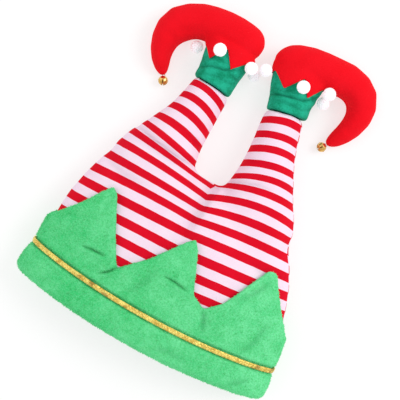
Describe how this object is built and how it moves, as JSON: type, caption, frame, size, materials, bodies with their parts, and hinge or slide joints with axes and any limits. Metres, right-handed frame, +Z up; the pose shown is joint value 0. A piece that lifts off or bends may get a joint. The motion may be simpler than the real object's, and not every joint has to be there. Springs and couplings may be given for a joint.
{
  "type": "novelty elf hat",
  "caption": "Soft hat shaped as striped elf trousers upside down: hollow knitted crown, turned-up zigzag plush band, two stuffed legs, curled boots with pompoms and bells.",
  "frame": {"origin": "on the surface the hat lies on, under the middle of its bounding box", "axes": "+Y from the band's open edge to the boots, +Z up out of the surface through the crown's front, +X across the band"},
  "size_m": [0.2848, 0.3564, 0.0589],
  "materials": {
    "knit": "fine jersey knit in red and pale pink-white stripes",
    "plush": "short-pile bright green plush",
    "braid": "woven metallic gold braid",
    "velvet": "dark green velvet with a lighter sheen",
    "felt": "matt red felt",
    "pile": "white cut-pile yarn",
    "bell": "polished gold-coloured sheet metal"
  },
  "bodies": {
    "root": {"crown": "knit", "brim_band": "plush", "gold_braid": "braid", "ankle_collar_left": "velvet", "ankle_collar_right": "velvet", "boot_left": "felt", "boot_right": "felt", "pompom_left_toe": "pile", "pompom_left_front": "pile", "pompom_left_heel": "pile", "pompom_left_back": "pile", "pompom_right_heel": "pile", "pompom_right_front": "pile", "pompom_right_toe": "pile", "pompom_right_back": "pile", "bell_left": "bell", "bell_right": "bell"}
  },
  "joints": []
}
